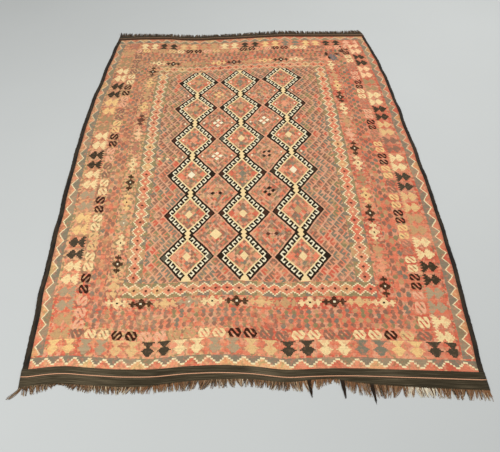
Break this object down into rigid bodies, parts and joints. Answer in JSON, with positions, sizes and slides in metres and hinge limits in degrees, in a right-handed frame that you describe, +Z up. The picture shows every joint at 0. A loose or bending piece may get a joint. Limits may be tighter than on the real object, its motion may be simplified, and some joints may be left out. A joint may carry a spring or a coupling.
{
  "type": "kilim rug",
  "caption": "Flat-woven wool kilim lying flat, with a patterned field and borders, dark plain bands and fringes at both ends and dark wound selvedges down both sides.",
  "frame": {"origin": "on the floor under the middle of the rug, fringes included", "axes": "+X across the rug to its right side, +Y along it to its far end, +Z up out of its face"},
  "size_m": [2.066, 3.12, 0.01],
  "materials": {
    "kilim_wool": "matte hand-woven wool in coral, cream, slate, olive and near-black, faded in streaks along the weft",
    "goat_hair": "coarse dark brown hair yarn wound over the edge cords, slight sheen",
    "warp_yarn": "loose twisted warp ends in mixed brown, tan and grey, matte"
  },
  "bodies": {
    "root": {"kilim_cloth": "kilim_wool", "left_selvedge": "goat_hair", "right_selvedge": "goat_hair", "near_fringe": "warp_yarn", "far_fringe": "warp_yarn"}
  },
  "joints": []
}
